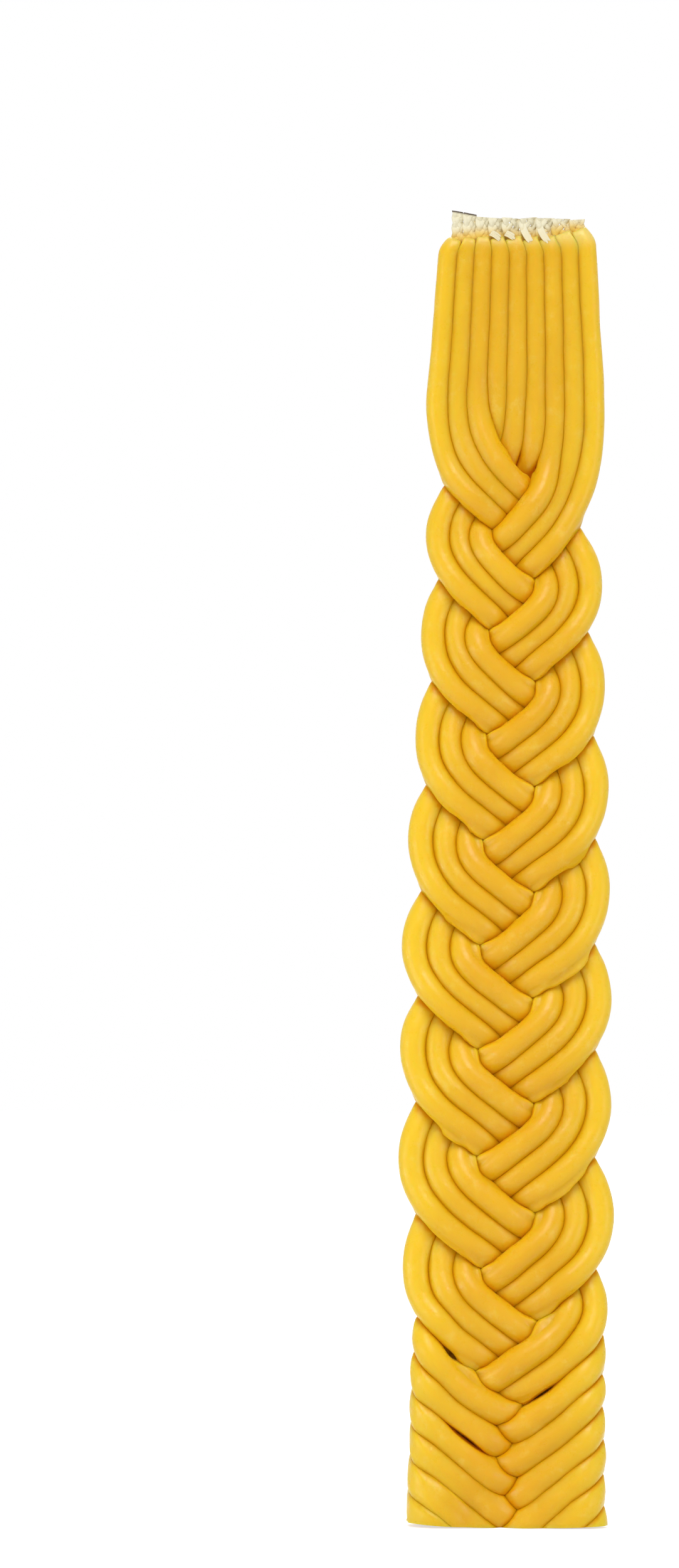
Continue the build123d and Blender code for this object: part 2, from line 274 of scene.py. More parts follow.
# The view: the foot's pixel, the scale at the candle, and the candle's lean in the frame
IMAGE_WIDTH, IMAGE_HEIGHT = 1083, 2500
FOOT_PIXEL = (808.0, 2434.0)
PIXELS_PER_MM = 8.25
LEAN = math.radians(0.5)
LENS = 200.0
SENSOR = 36.0


def diameter(z):
    """Wax diameter at a height: a quick taper down to the neck, then a slow one."""
    heights = (0.0, FIRST_CROSSING, WAX_HEIGHT)
    return np.interp(z, heights, (FOOT_DIAMETER, NECK_DIAMETER, TIP_DIAMETER))


def lane(z):
    """Distance between the middles of two tapers side by side."""
    return diameter(z) + STRAND_GAP


STEP = STEP_LANES * (lane(0.0) + lane(FIRST_CROSSING)) / 2
SINGLE_STEP = STEP / STRANDS_IN_PLY


def height(time):
    """Height of a crossing, with time counted in single steps from the first one."""
    return FIRST_CROSSING - SINGLE_STEP * time


def slope(move):
    """Angle of a move's diagonal from upright."""
    return math.radians(min(SLOPE_PLAIT, SLOPE_FIRST + SLOPE_GAIN * max(move, 0)))


def half_width(z):
    """Half the plait's width at a height."""
    last = STRANDS_IN_PLY * PLIED_MOVES
    narrow, wide = (height(last - steps) for steps in NARROWING)
    heights = (narrow, wide, height(STRANDS_IN_PLY * WIDEST_MOVE), height(0))
    return lane(z) * np.interp(z, heights, (FOOT_LANES, WAIST_LANES, WAIST_LANES, NECK_LANES))


# The plies move in turn: left, right, middle. Even moves cross from the left edge over the front.
PLY_PLACE = {"left": -3, "middle": 0, "right": 3}
PLIES = len(PLY_PLACE)
FIRST_MOVE = {"left": 0, "middle": -1, "right": 1}
LAST_PLIED = {"left": PLIED_MOVES - 2, "middle": PLIED_MOVES - 3, "right": PLIED_MOVES - 1}
FISHTAIL_SLOT = {
    "left": {-1: -1, 0: 0, 1: 1},
    "middle": {-1: 1, 0: -1, 1: 0},
    "right": {-1: 1, 0: 0, 1: -1},
}
STRANDS = [(ply, side) for ply in PLY_PLACE for side in (-1, 0, 1)]
LAST_MOVE = math.ceil((FIRST_CROSSING + OVERRUN) / STEP) + SPARE_MOVES


def moves(ply):
    return range(FIRST_MOVE[ply], LAST_MOVE, PLIES)


def slot(ply, side, move):
    """A strand's order in its ply on a move: -1 crosses highest, 1 lowest."""
    if move > LAST_PLIED[ply]:
        return FISHTAIL_SLOT[ply][side]
    return -side if move % 2 == 0 else side


def crossing(ply, side, move):
    """Time at which a strand crosses the middle, and its place in the order of crossing over."""
    middle = STRANDS_IN_PLY * move
    if move > LAST_PLIED[ply]:
        time = middle + 2 * slot(ply, side, move)
        return time, time
    spread = lane(height(middle)) / math.sin(slope(move)) / SINGLE_STEP
    return middle + spread * slot(ply, side, move), middle


CROSSINGS = [(move % 2, *crossing(*strand, move)) for strand in STRANDS for move in moves(strand[0])]


def dive(ply, side, move):
    """How far past the middle a strand goes from front to back: between the last it crosses over
    and the next that crosses over it."""
    time, order = crossing(ply, side, move)
    opposite = [(t, o) for parity, t, o in CROSSINGS if parity != move % 2]
    over = max((t for t, o in opposite if o < order), default=time)
    under = min((t for t, o in opposite if o > order), default=time)
    return (height(time) - height((over + under) / 2)) / 2 * math.tan(slope(move))


def nested(ply, side, move):
    """How many strands of its ply turn outside a strand at the edge before a move."""
    before, after = slot(ply, side, move - PLIES), slot(ply, side, move)
    others = [(slot(ply, other, move - PLIES), slot(ply, other, move)) for other in (-1, 0, 1)]
    return sum(b < before and a > after for b, a in others)


def corners(ply, side):
    """Corners of a strand's zigzag in the plait's plane: x, z, radius and reach of the rounded edge."""
    lines = []
    for move in moves(ply):
        lean = math.tan(slope(move)) * (1 if move % 2 == 0 else -1)
        lines.append((lean, height(crossing(ply, side, move)[0]), move))
    lean, z, move = lines[0]
    row = ROW_SPREAD * lane(height(-ROW_STEPS))
    x = (PLY_PLACE[ply] + side) * row
    bend = NECK_BENDS[move] + (-side if move == 0 else side)
    found = [(x, z - x / lean, bend * row, 0.0)]
    for (lean_a, z_a, move_a), (lean_b, z_b, move_b) in zip(lines, lines[1:]):
        z = (lean_a * z_a - lean_b * z_b) / (lean_a - lean_b)
        x = lean_a * (z_a - z)
        reach = half_width(z) - diameter(z) / 2 - nested(ply, side, move_b) * lane(z)
        a, b = slope(move_a), slope(move_b)
        spare = math.cos((a - b) / 2) / math.cos((a + b) / 2) - 1
        found.append((x, z, (abs(x) - reach) / spare, reach))
    return found


def layer(ply, side, x, z, zigzag):
    """Depth of a strand at a place on its zigzag: front on its way in, back on its way out."""
    passed = sum(corner[1] > z for corner in zigzag)
    run = max(passed - 1, 0)
    move = FIRST_MOVE[ply] + PLIES * run
    way = 1 if move % 2 == 0 else -1
    ahead = (x * way - dive(ply, side, move)) / lane(z)
    reach = zigzag[run][3] if ahead < 0 else zigzag[run + 1][3]
    edge = math.sqrt(max(reach - abs(x), 0.0) / (DIVE_LANES * lane(z)))
    if passed < 2 and ahead < 0:
        edge = (zigzag[0][1] - z) / (NECK_DIVE_LANES * lane(z))
    share = max(-1.0, min(1.0, ahead / DIVE_LANES)) * max(0.0, min(1.0, edge))
    return LAYER_LANES * lane(z) * share if passed else 0.0


def rounded(points, radii):
    """A plane line through the points, with each inner corner rounded to its radius."""
    line = [points[0]]
    for before, corner, after, radius in zip(points, points[1:], points[2:], radii):
        u = (before - corner) / np.linalg.norm(before - corner)
        v = (after - corner) / np.linalg.norm(after - corner)
        half = math.acos(np.clip(u @ v, -1, 1)) / 2
        middle = (u + v) / np.linalg.norm(u + v)
        centre = corner + middle * radius / math.sin(half)
        across = u - middle * (u @ middle)
        across /= np.linalg.norm(across)
        for turn in np.linspace(1, -1, ARC_POINTS) * (math.pi / 2 - half):
            line.append(centre + radius * (math.sin(turn) * across - math.cos(turn) * middle))
    line.append(points[-1])
    return np.array(line)


def runs(path):
    """Distance along a path at each of its points."""
    return np.concatenate([[0.0], np.cumsum(np.linalg.norm(np.diff(path, axis=0), axis=1))])


def at_stops(path, stops):
    """Points on a path at distances along it."""
    run = runs(path)
    return np.stack([np.interp(stops, run, path[:, axis]) for axis in range(path.shape[1])], axis=1)


def resampled(path, stations):
    """A number of evenly spaced points on a path."""
    return at_stops(path, np.linspace(0.0, runs(path)[-1], stations))


def route(ply, side):
    """Points along a strand before it settles, evenly spaced."""
    zigzag = corners(ply, side)
    (*_, (x_a, z_a, *_), (x_b, z_b, *_)) = zigzag
    points = [((PLY_PLACE[ply] + side) * lane(WAX_HEIGHT), WAX_HEIGHT)]
    points += [(x, z) for x, z, *_ in zigzag[:-1]]
    points += [((x_a + x_b) / 2, (z_a + z_b) / 2)]
    line = rounded(np.array(points), [corner[2] for corner in zigzag[:-1]])
    line = resampled(line, PLAN_POINTS)
    line = line[line[:, 1] > -OVERRUN]
    flat = resampled(line, SETTLE_STATIONS)
    return np.array([(x, layer(ply, side, x, z, zigzag), z) for x, z in flat])


def contacts(paths):
    """Pairs of spans of different strands that lie near each other, by their first points."""
    stations = paths.shape[1]
    spans = (np.arange(len(paths))[:, None] * stations + np.arange(stations - 1)).ravel()
    strand = spans // stations
    flat = paths.reshape(-1, 3)
    middle = (flat[spans] + flat[spans + 1]) / 2
    longest = np.linalg.norm(flat[spans + 1] - flat[spans], axis=1).max()
    square = (middle ** 2).sum(1)
    near = square[:, None] + square - 2 * middle @ middle.T < (NEAR_LANES * lane(0.0) + longest) ** 2
    return [spans[found] for found in np.nonzero(near & (strand[:, None] < strand))]


def nearest(flat, a, b):
    """Nearest points of paired spans: their shares of each span, the way from b's to a's, its length,
    and the distance at which the two touch."""
    u, v, w = flat[a + 1] - flat[a], flat[b + 1] - flat[b], flat[a] - flat[b]
    uu, vv, uv = (u * u).sum(1), (v * v).sum(1), (u * v).sum(1)
    uw, vw = (u * w).sum(1), (v * w).sum(1)
    s = np.clip((uv * vw - uw * vv) / np.maximum(uu * vv - uv ** 2, 1e-6), 0, 1)
    t = np.clip((uv * s + vw) / vv, 0, 1)
    s = np.clip((uv * t - uw) / uu, 0, 1)
    apart = w + s[:, None] * u - t[:, None] * v
    touching = (lane(flat[a, 2]) + lane(flat[b, 2])) / 2
    return s, t, apart, np.linalg.norm(apart, axis=1), touching


def settle(paths):
    """Push crossing strands apart, round by round. They start thin, swell slowly to their full
    diameter, and are held near home and pressed flat meanwhile."""
    home = paths.copy()
    for turn in range(SWELL_ROUNDS):
        loose = max(0.0, 1 - SWELL_RATE * turn / SWELL_ROUNDS)
        if turn % PAIRING_ROUNDS == 0:
            a, b = contacts(paths)
        flat = paths.reshape(-1, 3)
        s, t, apart, distance, touching = nearest(flat, a, b)
        short = np.maximum(SOFT_CONTACT * touching * (1 - SLACK * loose) - distance, 0.0)
        push = apart * (short / np.maximum(distance, 1e-6) / 2)[:, None]
        shove = np.zeros_like(flat)
        weight = np.full(len(flat), CALM)
        for end, part, sign in ((a, 1 - s, 1), (a + 1, s, 1), (b, 1 - t, -1), (b + 1, t, -1)):
            part = part * (short > 0)
            np.add.at(shove, end, sign * push * part[:, None])
            np.add.at(weight, end, part)
        paths = (flat + PUSH * shove / weight[:, None]).reshape(paths.shape)
        straight = (paths[:, :-2] + paths[:, 2:]) / 2 - paths[:, 1:-1]
        paths[:, 1:-1] += max(STIFFNESS * loose, STIFFNESS_LEAST) * straight
        paths += max(loose, HOLD_LEAST) * np.array([HOLD, 0.0, HOLD]) * (home - paths)
        paths[:, :, 1] *= 1 - PRESS * max(loose, PRESS_LEAST)
        paths[:, :2] = home[:, :2]
    return paths


def eased(share):
    """A soft step from 0 to 1."""
    share = np.clip(share, 0, 1)
    return share * share * (3 - 2 * share)


def smoothed(path, spacing, reach):
    """The path drawn as a soft line: finely resampled, then averaged over a reach along it."""
    fine = resampled(path, round(runs(path)[-1] / spacing))
    width = round(reach / spacing)
    offsets = np.arange(-3 * width, 3 * width + 1)
    weights = np.exp(-0.5 * (offsets / width) ** 2)
    weights /= weights.sum()
    before = 2 * fine[0] - fine[1:3 * width + 1][::-1]
    after = 2 * fine[-1] - fine[-3 * width - 1:-1][::-1]
    padded = np.concatenate([before, fine, after])
    return np.stack([np.convolve(padded[:, axis], weights, mode="valid") for axis in range(3)], axis=1)


def hand_made(path):
    """The path as the plaiting hand left it, a little bent and uneven in its spacing."""
    z = path[:, 2]
    shift = np.stack([np.interp(z, BOW_HEIGHTS, BOW), 0 * z, -np.interp(z, SAG_HEIGHTS, SAG)], axis=1)
    return path + shift


def waves(count, wavelengths, places, random):
    """Gentle random waviness along a line: one row of values for each of count lines."""
    total = np.zeros((count, len(places)))
    for wavelength in wavelengths:
        phase = random.uniform(0, 2 * np.pi, count)[:, None]
        total += np.sin(2 * np.pi * places[None] / wavelength + phase)
    return total / len(wavelengths)


def sway(number, rises):
    """Shift of a wick, and of the wax round it, at heights above the top of the wax."""
    tall, lean, bow, climb, _ = STUBS[number]
    rises = np.asarray(rises, float)
    bent = eased((rises - climb + BEND_BELOW) / (BEND_ABOVE + BEND_BELOW))
    forward = np.maximum(rises, 0) / tall
    return np.stack([-lean * bent, -bow * forward ** 2, 0 * bent], axis=1)


def stub_line(top, number, rises):
    """Points on a wick stub's middle line at heights above the top of the wax."""
    rises = np.asarray(rises, float)
    return top + sway(number, rises) + rises[:, None] * (0, 0, 1)


def taper_line(path, number):
    """A taper's middle line, starting where the wax has climbed up the wick."""
    climb = STUBS[number][3]
    above = stub_line(path[0], number, np.linspace(climb, 0, CLIMB_POINTS)[:-1])
    whole = np.concatenate([above, path + sway(number, path[:, 2] - WAX_HEIGHT)])
    length = runs(whole)[-1]
    top = np.arange(0, TOP_LENGTH, TOP_SPACING)
    rest = np.linspace(TOP_LENGTH, length, round((length - TOP_LENGTH) / SPACING))
    return at_stops(whole, np.concatenate([top, rest]))


def uneven_tapers(settled, random):
    """Middle lines of hand-made tapers, and their free radii along them."""
    paths = []
    for number, line in enumerate(settled):
        path = smoothed(hand_made(line), LINE_SPACING, LINE_REACH)
        places = runs(path)
        easing = np.clip((places - WANDER_START) / WANDER_EASE, 0, 1)
        wander = WANDER * easing * waves(3, WANDER_WAVES, places, random)
        paths.append(taper_line(path + wander.T, number))
    radii = []
    for path in paths:
        fused = np.clip(1 - path[:, 2] / FUSED_HEIGHT, 0, 1)
        swelling = 1 + SWELLING * waves(1, SWELLING_WAVES, runs(path), random)[0]
        even = FULLNESS * lane(np.minimum(path[:, 2], WAX_HEIGHT))
        radii.append(even * swelling * (1 + FOOT_FULLNESS * fused))
    return paths, radii


def frames_along(path):
    """The path's direction at each station, and two directions square to it that turn no more than
    the path does."""
    along = np.gradient(path, axis=0)
    along /= np.linalg.norm(along, axis=1)[:, None]
    across = np.zeros_like(path)
    current = np.array([1.0, 0.0, 0.0])
    for i, way in enumerate(along):
        current = current - way * (current @ way)
        current /= np.linalg.norm(current)
        across[i] = current
    return along, across, np.cross(along, across)


def squeezed(paths, radii):
    """Points on the skin of every taper: round where free, flat where two tapers press together, and
    fused softly along the seam. Also gives the painted shade of each point, from 0 to 1, by how deep in a
    seam it lies."""
    turns = np.linspace(0, 2 * np.pi, SIDES, endpoint=False)
    skins, seam_shades = [], []
    for number, (path, free) in enumerate(zip(paths, radii)):
        others = np.concatenate([p for n, p in enumerate(paths) if n != number])
        other_radii = np.concatenate([r for n, r in enumerate(radii) if n != number])
        _, across, upright = frames_along(path)
        cosines, sines = np.cos(turns)[None, :, None], np.sin(turns)[None, :, None]
        rays = cosines * across[:, None] + sines * upright[:, None]
        tips = path[:, None] + free[:, None, None] * rays
        closing = filling(path, rays, tips)
        kept = slit(tips)
        fuse = fusing(tips)
        soft = np.interp(tips[:, :, 2], (0.0, SOFT_HEIGHT, FIRST_CROSSING, WAX_HEIGHT), (1, 0, 0, 1))
        weld = WELD + SOFT_WELD * soft + SMEAR_WELD * smear(tips) + DEEP_WELD * closing
        crowd = []
        reach, room, bare, seam_shade = np.zeros((4, len(path), SIDES))
        for i, (centre, radius) in enumerate(zip(path, free)):
            gap = others - centre
            square = (gap ** 2).sum(1)
            near = square < (CROWD_RADII * radius) ** 2
            square, theirs, toward = square[near], other_radii[near], rays[i] @ gap[near].T
            crowd.append((square, theirs, toward))
            bound = (square + radius ** 2 - theirs ** 2) / 2
            limit = np.where(toward > 1e-6, bound / np.maximum(toward, 1e-6), UNPRESSED)
            room[i] = limit.min(1, initial=UNPRESSED)
            ahead = (AHEAD_RADII * radius * rays[i])[:, None, ::2] - gap[near][None, :, ::2]
            bare[i] = (np.linalg.norm(ahead, axis=2) / theirs).min(1, initial=FAR_OFF)
        bulge = closing * eased((GAP_FAR - room / free[:, None]) / (GAP_FAR - GAP_NEAR))
        bulge *= eased((bare - BARE_LOW) / (BARE_HIGH - BARE_LOW))
        full = free[:, None] * (1 + GAP_REACH * widened(bulge))
        for i, (square, theirs, toward) in enumerate(crowd):
            out = full[i]
            for _ in range(SEAM_ROUNDS):
                away = np.sqrt(out[:, None] ** 2 - 2 * out[:, None] * toward + square) - theirs
                away = away.min(1, initial=FAR_OFF) - (out - full[i])
                out = full[i] + fuse[i] / 4 * np.clip(1 - away / fuse[i], 0, 1) ** 2 * (kept[i] > UNSLIT)
            stop = np.maximum(weld[i] * room[i] * kept[i], LEAST_REACH)
            reach[i] = (out ** -ROUNDING + stop ** -ROUNDING) ** (-1 / ROUNDING)
            # painted shade, deepest in the middle of a seam
            seam_shade[i] = eased(1 - away / SEAM_REACH)
        raw = reach.copy()
        for _ in range(SMOOTHING):
            reach[1:-1] = reach[:-2] / 4 + reach[1:-1] / 2 + reach[2:] / 4
        reach += closing * np.maximum(raw - reach, 0)
        reach *= shoulder(path, number, free, turns)
        seam_shade *= (1 - smear(tips)) * eased((WAX_HEIGHT - tips[:, :, 2]) / PLAIN_TOP)
        skins.append(path[:, None] + reach[:, :, None] * rays)
        seam_shades.append(seam_shade)
    return skins, seam_shades


def filling(path, rays, tips):
    """Share to which a taper's sides may fill the middle of the plait: those that face along its plane
    or towards its middle, away from its edge."""
    z = tips[:, :, 2]
    inside = half_width(z) / lane(z) - np.abs(tips[:, :, 0]) / lane(z)
    inward = -SIDE_LEAN * np.clip(path[:, 1] / lane(path[:, 2]), -1, 1)
    closing = eased((SIDE_HIGH - np.abs(rays[:, :, 1] - inward[:, None])) / (SIDE_HIGH - SIDE_LOW))
    closing *= eased((inside - EDGE_LOW) / (EDGE_HIGH - EDGE_LOW))
    return closing


def widened(values):
    """Values on rings of points, each spread a little to its neighbours."""
    for _ in range(WIDENING):
        padded = np.pad(values, ((1, 1), (0, 0)), mode="edge")
        values = np.maximum(np.maximum(padded[:-2], padded[2:]), values)
        values = np.maximum(np.maximum(np.roll(values, 1, 1), np.roll(values, -1, 1)), values)
    return values


def fusing(points):
    """Width of the soft seam between a taper and its neighbours, at points on its side."""
    z = points[:, :, 2]
    heights = (0.0, SOFT_HEIGHT, FIRST_CROSSING + NECK_FROM, FIRST_CROSSING + NECK_TO)
    width = np.interp(z, heights, (FOOT_SEAM, PLAIT_SEAM, PLAIT_SEAM, NECK_SEAM))
    deep = eased((DEEP_LANES - np.abs(points[:, :, 1]) / lane(z)) / DEEP_LANES * 2)
    return np.maximum(width + SMEAR_SEAM * smear(points), DEEP_SEAM * deep)


def smear(points):
    """Share of smeared wax at points at the foot's left corner and edge, on its front and back."""
    x, y, z = points[:, :, 0], np.abs(points[:, :, 1]) / lane(points[:, :, 2]), points[:, :, 2]
    shares = [
        strength * eased((top - z) / fade) * eased((side - x) / width) * eased((y - low) / (full - low))
        for strength, top, fade, side, width, low, full in SMEARS
    ]
    return np.maximum(*shares)


def slit(points):
    """Share of its place that a taper's side keeps where a slit stays open at the front."""
    kept = np.ones(points.shape[:2])
    for x, z, half, lean, depth in SLITS:
        lean = math.radians(lean)
        gap_x, gap_z = points[:, :, 0] - x, points[:, :, 2] - z
        along = (gap_x * math.cos(lean) + gap_z * math.sin(lean)) / half
        across = (gap_z * math.cos(lean) - gap_x * math.sin(lean)) / SLIT_HALF_WIDTH
        front = points[:, :, 1] < SLIT_BACK
        kept -= depth * eased(1 - along ** 2) * eased(SLIT_FULLNESS - across ** 2) * front
    return kept


def shoulder(path, number, free, turns):
    """Share of its full radius that a taper has near its top, where it rounds in to the wick."""
    share = np.clip(runs(path) / (STUBS[number][3] + SHOULDER), 0, 1)
    bulge = np.sqrt(1 - (1 - share) ** 2)
    wide = (STUBS[number][4] / free) * (1 - bulge) + bulge
    deep = (COLLAR_HALF_DEPTH / free) * (1 - bulge) + bulge
    return ((np.cos(turns) / wide[:, None]) ** 2 + (np.sin(turns) / deep[:, None]) ** 2) ** -0.5


class Shape:
    """Points, faces and values at the points, gathered until they become a piece's mesh."""

    def __init__(self, *names):
        self.names = names
        self.points, self.faces, self.values = [], [], []

    def add_tube(self, rings, values):
        """A tube through rings of points, closed at both ends."""
        count, sides = rings.shape[:2]
        values = values.reshape(count, sides, len(self.names))
        first = len(self.points)
        self.points += rings.reshape(-1, 3).tolist()
        self.points += [rings[0].mean(0).tolist(), rings[-1].mean(0).tolist()]
        self.values += values.reshape(-1, len(self.names)).tolist()
        self.values += [values[0].mean(0).tolist(), values[-1].mean(0).tolist()]
        start, end = first + count * sides, first + count * sides + 1
        last = first + (count - 1) * sides
        for k in range(sides):
            n = (k + 1) % sides
            for row in range(first, last, sides):
                self.faces.append((row + k, row + n, row + sides + n, row + sides + k))
            self.faces.append((start, first + n, first + k))
            self.faces.append((end, last + k, last + n))

    def piece(self, name, cuts):
        """The finished object, cut flat at planes given by a point and the way that is cut off."""
        mesh = bpy.data.meshes.new(name)
        mesh.from_pydata((np.array(self.points) * MM).tolist(), [], self.faces)
        for column, value_name in enumerate(self.names):
            attribute = mesh.attributes.new(value_name, "FLOAT", "POINT")
            attribute.data.foreach_set("value", np.array(self.values, np.float32)[:, column].copy())
        bm = bmesh.new()
        bm.from_mesh(mesh)
        for face in bm.faces:
            face.smooth = True
        for place, way in cuts:
            everything = bm.verts[:] + bm.edges[:] + bm.faces[:]
            bmesh.ops.bisect_plane(
                bm, geom=everything, plane_co=np.array(place) * MM, plane_no=way, clear_outer=True
            )
            edges = [edge for edge in bm.edges if edge.is_boundary]
            caps = bmesh.ops.holes_fill(bm, edges=edges, sides=0)["faces"]
            for face in caps:
                face.smooth = False
                for edge in face.edges:
                    edge.smooth = False
        bmesh.ops.recalc_face_normals(bm, faces=bm.faces[:])
        bm.to_mesh(mesh)
        bm.free()
        made = bpy.data.objects.new(name, mesh)
        bpy.context.scene.collection.objects.link(made)
        return made


def ellipse_rings(path, wide, deep, sides):
    """Rings of an oval section along a path, the wide way across it."""
    turns = np.linspace(0, 2 * np.pi, sides, endpoint=False)
    _, across, upright = frames_along(path)
    wide = np.broadcast_to(wide, (len(path),))[:, None, None] * np.cos(turns)[None, :, None]
    deep = np.broadcast_to(deep, (len(path),))[:, None, None] * np.sin(turns)[None, :, None]
    return path[:, None] + wide * across[:, None] + deep * upright[:, None]


def yarn_rings(path, size):
    """Rings of a flat bundle of threads, which turn slowly along its length."""
    turns = np.linspace(0, 2 * np.pi, YARN_SIDES, endpoint=False)
    _, across, upright = frames_along(path)
    twist = 2 * np.pi * runs(path) / THREAD_LAY
    ridges = np.abs(np.cos(THREADS / 2 * (turns[None] + twist[:, None])))
    lobes = size[:, None] * (1 + THREAD_RELIEF * ridges)
    wide = YARN_HALF_WIDTH * (lobes * np.cos(turns))[:, :, None]
    deep = YARN_HALF_DEPTH * (lobes * np.sin(turns))[:, :, None]
    return path[:, None] + wide * across[:, None] + deep * upright[:, None]


def braid(top, number, random):
    """The bundles of a stub's flat braid, as rings."""
    tall, _, _, climb, half = STUBS[number]
    rises = np.linspace(-STUB_ROOT, tall + STUB_SPARE, STUB_POINTS)
    middle = stub_line(top, number, rises)
    _, across, upright = frames_along(middle)
    turn = STUB_TURN * eased((rises - climb) / TURN_LENGTH)[:, None]
    across, upright = (
        np.cos(turn) * across + np.sin(turn) * upright,
        np.cos(turn) * upright - np.sin(turn) * across,
    )
    up = runs(middle) / YARN_WAVE * 2 * np.pi + random.uniform(0, YARN_START)
    bundles = []
    for yarn in range(YARNS):
        phase = up + 2 * np.pi * yarn / YARNS
        swing = (half - YARN_HALF_WIDTH) * np.cos(phase)[:, None] * across
        weave = YARN_DEPTH * np.sin((YARNS - 1) * phase)[:, None] * upright
        bundles.append(yarn_rings(middle + swing + weave, np.ones(len(middle))))
    return bundles


def loose_end(top, number, random):
    """The strands of a stub's loose end, as rings."""
    start, bend, end = top + sway(number, [LOOSE_RISE])[0] + np.array(LOOSE_ENDS[number + 1])
    share = np.linspace(0, 1, LOOSE_POINTS)[:, None]
    line = (1 - share) ** 2 * start + 2 * share * (1 - share) * bend + share ** 2 * end
    worn = np.sqrt(1 - LOOSE_WEAR * np.clip((share[:, 0] - 1 + LOOSE_TIP) / LOOSE_TIP, 0, 1) ** 2)
    along = (end - start) / np.linalg.norm((end - start)[::2])
    beside = np.array([-along[2], 0, along[0]])
    strands = []
    for fan in LOOSE_FAN:
        tip_sway = random.uniform(-LOOSE_LONG, LOOSE_LONG) * along
        tip_sway = tip_sway + random.uniform(-LOOSE_ASIDE, LOOSE_ASIDE) * beside
        strand = line + fan * beside + share ** 3 * tip_sway
        strands.append(yarn_rings(strand, LOOSE_SIZE * worn))
    return strands


def add_hair(shape, top, number, random):
    """A stray fibre on a stub."""
    root = stub_line(top, number, [STUBS[number][0] * random.uniform(*HAIR_ROOTS)])[0]
    root = root + (random.uniform(-HAIR_SIDE, HAIR_SIDE), random.uniform(-HAIR_FRONT, HAIR_FRONT), 0)
    way = HAIR_LENGTH * np.array([random.normal(mean, spread) for mean, spread in HAIR_WAY])
    curl = HAIR_LENGTH * np.array([random.normal(0, HAIR_CURL), random.normal(0, HAIR_CURL), HAIR_DROOP])
    steps = np.linspace(0, 1, HAIR_POINTS)
    line = root + steps[:, None] * way + steps[:, None] ** 2 * curl
    thin = HAIR_RADIUS - HAIR_THINNING * steps
    shape.add_tube(ellipse_rings(line, thin, thin, HAIR_SIDES), np.zeros((HAIR_POINTS, HAIR_SIDES, 2)))


def add_stub(shape, top, number, tip, tilt, random):
    """A cut stub of flat braided wick: its bundles, a loose end on some, and stray fibres."""
    climb = STUBS[number][3]
    bundles = [(rings, 1.0) for rings in braid(top, number, random)]
    if number + 1 in LOOSE_ENDS:
        bundles += [(rings, LOOSE_SOAK_AND_SHADE) for rings in loose_end(top, number, random)]
    for rings, soak_and_shade in bundles:
        # Soaked with wax just above the wax, and painted shade in the same colour on the side turned
        # back, behind the next stub
        waxed_and_shade = eased(1 - (rings[:, :, 2] - top[2] - climb) / SOAKED)
        waxed_and_shade = soak_and_shade * np.maximum(waxed_and_shade, BACK_SIDE_SHADE * eased(rings[:, :, 1] / SIDE_DEPTH))
        singed = np.clip(SINGE_DEPTH + ((rings - tip) @ tilt) / SINGE_FADE, 0, 1)
        shape.add_tube(rings, np.stack([waxed_and_shade, singed * (number + 1 in SINGED)], axis=2))
    for _ in range(HAIRS):
        add_hair(shape, top, number, random)


def node(tree, kind, **values):
    """A new shader node, with values for its sockets or settings."""
    made = tree.nodes.new(kind)
    for key, value in values.items():
        if key in made.inputs:
            made.inputs[key].default_value = value
        else:
            setattr(made, key, value)
    return made


def new_material(name, finish):
    """A new material, its node tree and its shader, whose sockets take the finish."""
    material = bpy.data.materials.new(name)
    material.use_nodes = True
    shader = material.node_tree.nodes["Principled BSDF"]
    for socket, value in finish.items():
        shader.inputs[socket].default_value = value
    return material, material.node_tree, shader


def noise(tree, place, **values):
    """Cloudy values from 0 to 1 over the surface."""
    made = node(tree, "ShaderNodeTexNoise", **values)
    tree.links.new(place, made.inputs["Vector"])
    return made.outputs["Fac"]


def spread(tree, value, source, target, **settings):
    """A value from a source range, spread over a target range."""
    made = node(tree, "ShaderNodeMapRange", **settings)
    made.inputs["From Min"].default_value, made.inputs["From Max"].default_value = source
    made.inputs["To Min"].default_value, made.inputs["To Max"].default_value = target
    tree.links.new(value, made.inputs["Value"])
    return made.outputs["Result"]


def soft_step(tree, value, source, most):
    """A soft step from 0 to the most, as a value crosses a range."""
    return spread(tree, value, source, (0.0, most), interpolation_type="SMOOTHSTEP")


def mixed(tree, under, over, share):
    """A colour over another one, by a share that varies over the surface."""
    made = node(tree, "ShaderNodeMix", data_type="RGBA", blend_type="MIX")
    made.inputs["B"].default_value = over
    tree.links.new(share, made.inputs["Factor"])
    if isinstance(under, tuple):
        made.inputs["A"].default_value = under
    else:
        tree.links.new(under, made.inputs["A"])
    return made.outputs["Result"]


def add_bump(tree, shader, relief, **values):
    """Fine relief on a shader's surface."""
    bump = node(tree, "ShaderNodeBump", **values)
    tree.links.new(relief, bump.inputs["Height"])
    tree.links.new(bump.outputs["Normal"], shader.inputs["Normal"])


def seen(tree):
    """1 where the camera looks, straight or by way of gloss or glass, and else 0."""
    rays = node(tree, "ShaderNodeLightPath")
    either = node(tree, "ShaderNodeMath", operation="MAXIMUM")
    any_of = node(tree, "ShaderNodeMath", operation="MAXIMUM")
    link = tree.links.new
    link(rays.outputs["Is Camera Ray"], either.inputs[0])
    link(rays.outputs["Is Glossy Ray"], either.inputs[1])
    link(either.outputs[0], any_of.inputs[0])
    link(rays.outputs["Is Transmission Ray"], any_of.inputs[1])
    return any_of.outputs[0]


def scaled(tree, value, factor):
    """A value times a factor."""
    made = node(tree, "ShaderNodeMath", operation="MULTIPLY")
    made.inputs[1].default_value = factor
    tree.links.new(value, made.inputs[0])
    return made.outputs[0]


